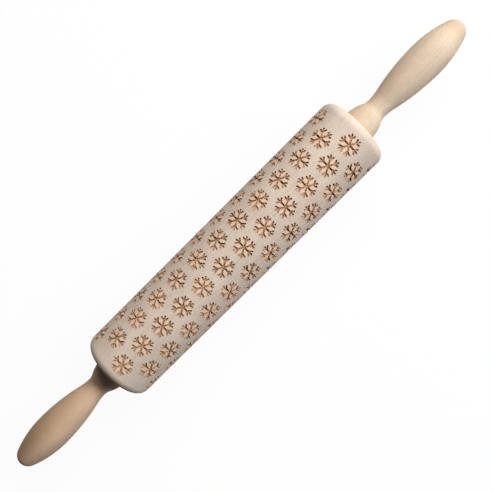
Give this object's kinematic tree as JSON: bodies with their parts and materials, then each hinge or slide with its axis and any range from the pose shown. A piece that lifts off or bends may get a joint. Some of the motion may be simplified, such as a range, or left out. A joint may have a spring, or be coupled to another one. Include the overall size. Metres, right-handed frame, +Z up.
{
  "type": "embossed rolling pin",
  "caption": "Wooden rolling pin with an embossed snowflake barrel that spins on a steel axle between turned handles.",
  "frame": {"origin": "centre of the barrel, on the axis of the axle", "axes": "+X along the axle towards the right handle (the upper right one in the picture), +Z up through the side of the barrel that faces the viewer"},
  "size_m": [0.405, 0.05, 0.05],
  "materials": {
    "barrel_beech": "fine sanded bare beech with laser-burnt snowflakes",
    "handle_beech": "smooth turned bare beech",
    "axle_steel": "drawn bright steel",
    "bush_nylon": "natural nylon",
    "insert_brass": "turned brass"
  },
  "bodies": {
    "handles": {"handle_left": "handle_beech", "handle_right": "handle_beech", "axle_rod": "axle_steel", "threaded_insert_left": "insert_brass", "threaded_insert_right": "insert_brass", "thrust_washer_left": "axle_steel", "thrust_washer_right": "axle_steel"},
    "barrel": {"barrel": "barrel_beech", "bearing_bush_left": "bush_nylon", "bearing_bush_right": "bush_nylon"}
  },
  "joints": [
    {"name": "barrel_spin", "type": "hinge", "parent": "handles", "child": "barrel", "pos_m": [0, 0, 0], "axis": [1, 0, 0], "continuous": true}
  ]
}
